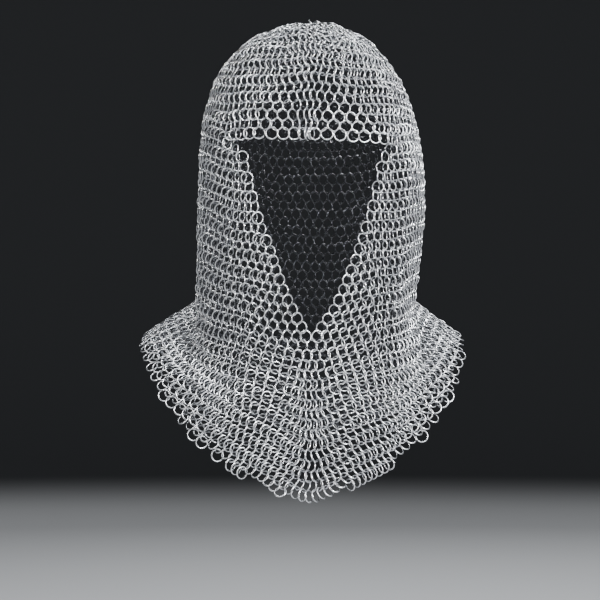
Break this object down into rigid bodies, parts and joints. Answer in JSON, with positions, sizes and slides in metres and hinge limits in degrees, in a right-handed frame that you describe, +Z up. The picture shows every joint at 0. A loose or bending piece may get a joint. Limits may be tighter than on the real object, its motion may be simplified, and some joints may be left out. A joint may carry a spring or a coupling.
{
  "type": "mail coif",
  "caption": "Hooded mail coif as worn, with a squared face opening that narrows to a notch, and a mantle over the shoulders with rounded points at the front and back.",
  "frame": {"origin": "the underside of the crown's top, where a head holds the coif up", "axes": "+Z up, the face opening looks along -Y, the wearer's left is +X"},
  "size_m": [0.315, 0.275, 0.4703],
  "materials": {
    "mail": "zinc-plated round wire, satin bright on the outer faces and dulled inside"
  },
  "bodies": {
    "root": {"crown": "mail", "brow_band": "mail", "hood_left": "mail", "hood_right": "mail", "hood_back": "mail", "mantle_front": "mail", "mantle_left": "mail", "mantle_right": "mail", "mantle_back": "mail"}
  },
  "joints": []
}
